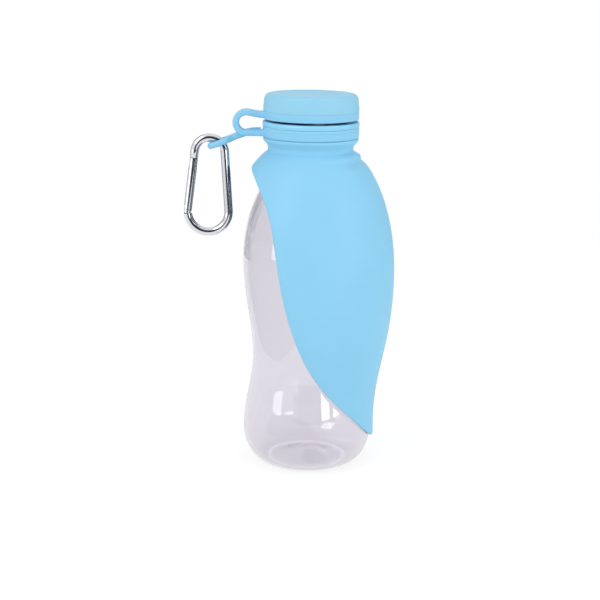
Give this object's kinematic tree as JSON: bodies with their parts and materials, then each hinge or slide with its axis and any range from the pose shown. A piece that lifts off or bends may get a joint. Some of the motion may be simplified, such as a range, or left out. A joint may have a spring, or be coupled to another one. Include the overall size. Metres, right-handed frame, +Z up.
{
  "type": "dog travel water bottle",
  "caption": "Clear waisted bottle with a leaf-shaped silicone bowl wrapped round it, a screw cap tied on by a loop, and a snap hook on a strap.",
  "frame": {"origin": "centre of the bottle's standing ring, on the plane it stands on", "axes": "+Z up along the bottle's axis; +X towards the tip of the leaf-shaped bowl, so the snap hook hangs on the -X side; +Y away from the picture's viewer"},
  "size_m": [0.1192, 0.0964, 0.2101],
  "materials": {
    "clear_pet": "clear blown PET, glossy",
    "silicone": "matte moulded silicone",
    "pp_blue": "moulded polypropylene, satin",
    "seal_rubber": "moulded silicone",
    "polished_aluminium": "polished bent rod",
    "steel": "plain pin and spring steel"
  },
  "bodies": {
    "body": {"bottle": "clear_pet", "leaf_sleeve": "silicone", "collar": "pp_blue", "tether_band": "silicone", "cap_loop": "silicone"},
    "petal": {"leaf_petal": "silicone"},
    "cap_slide": {"swivel_ring": "silicone"},
    "cap": {"cap_insert": "pp_blue", "cap_skin": "silicone", "cap_seal": "seal_rubber"},
    "strap": {"hook_strap": "silicone"},
    "hook": {"hook_frame": "polished_aluminium"},
    "gate": {"hook_gate": "polished_aluminium", "gate_rivet": "steel", "gate_latch_pin": "steel", "gate_spring": "steel", "gate_plunger": "steel"}
  },
  "joints": [
    {"name": "leaf_lift", "type": "hinge", "parent": "body", "child": "petal", "pos_m": [0.0313, 0, 0.1744], "axis": [0, -1, 0], "range_deg": [0, 30], "stiffness_Nm_per_rad": 0.3, "springref_deg": -5.73},
    {"name": "cap_lift", "type": "slide", "parent": "body", "child": "cap_slide", "axis": [0, 0, 1], "range_m": [0, 0.012], "deforming": ["cap_loop"]},
    {"name": "cap_turn", "type": "hinge", "parent": "cap_slide", "child": "cap", "pos_m": [0, 0, 0.1967], "axis": [0, 0, 1], "range_deg": [0, 270]},
    {"name": "strap_bend", "type": "hinge", "parent": "body", "child": "strap", "pos_m": [-0.03055, 0.0037, 0.18855], "axis": [0, 1, 0], "range_deg": [-6, 80], "stiffness_Nm_per_rad": 0.02, "springref_deg": 4.58},
    {"name": "hook_swivel", "type": "hinge", "parent": "strap", "child": "hook", "pos_m": [-0.0502, 0.0037, 0.18205], "axis": [0.7009, 0, -0.7133], "range_deg": [-60, 60]},
    {"name": "gate_open", "type": "hinge", "parent": "hook", "child": "gate", "pos_m": [-0.06856, 0.0037, 0.14426], "axis": [0, 1, 0], "range_deg": [0, 24], "stiffness_Nm_per_rad": 0.03, "springref_deg": -17.19}
  ],
  "couplings": [
    {"joint": "cap_lift", "follows": "cap_turn", "m_per_rad": 0.0025465}
  ]
}
